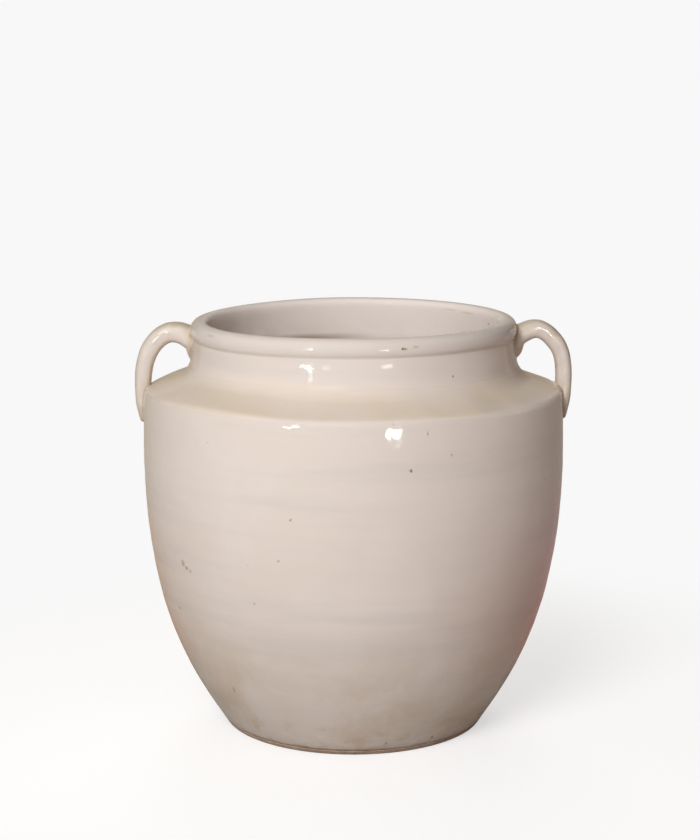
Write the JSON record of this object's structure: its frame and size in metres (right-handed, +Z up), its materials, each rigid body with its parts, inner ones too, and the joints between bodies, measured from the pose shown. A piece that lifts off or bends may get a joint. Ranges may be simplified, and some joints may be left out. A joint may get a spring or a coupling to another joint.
{
  "type": "martaban jar",
  "caption": "Wide-mouthed cream-glazed stoneware storage jar with a sloping shoulder, rolled rim, low turned foot and loop handles from rim to shoulder.",
  "frame": {"origin": "centre of the foot on the surface that the jar stands on", "axes": "+Z up along the jar's axis, handles along X, the viewer's side towards -Y"},
  "size_m": [0.3768, 0.3602, 0.353],
  "materials": {
    "bare_clay": "unglazed stoneware, stained",
    "floor_glaze": "glazed inside, bare underneath",
    "lower_glaze": "glossy cream glaze",
    "upper_glaze": "glossy cream glaze",
    "shoulder_glaze": "glossy cream glaze, warmer on the slope",
    "neck_glaze": "glossy cream glaze",
    "rim_glaze": "glossy cream glaze, thin on the edge",
    "handle_glaze": "glossy cream glaze",
    "root_glaze": "glossy cream glaze, pooled and stained",
    "pad_glaze": "glossy cream glaze"
  },
  "bodies": {
    "root": {"foot_ring": "bare_clay", "base_floor": "floor_glaze", "lower_wall": "lower_glaze", "upper_wall": "upper_glaze", "shoulder": "shoulder_glaze", "neck": "neck_glaze", "rim": "rim_glaze", "left_handle": "handle_glaze", "right_handle": "handle_glaze", "left_handle_root": "root_glaze", "right_handle_root": "root_glaze", "left_handle_tail_pad": "pad_glaze", "right_handle_tail_pad": "pad_glaze"}
  },
  "joints": []
}
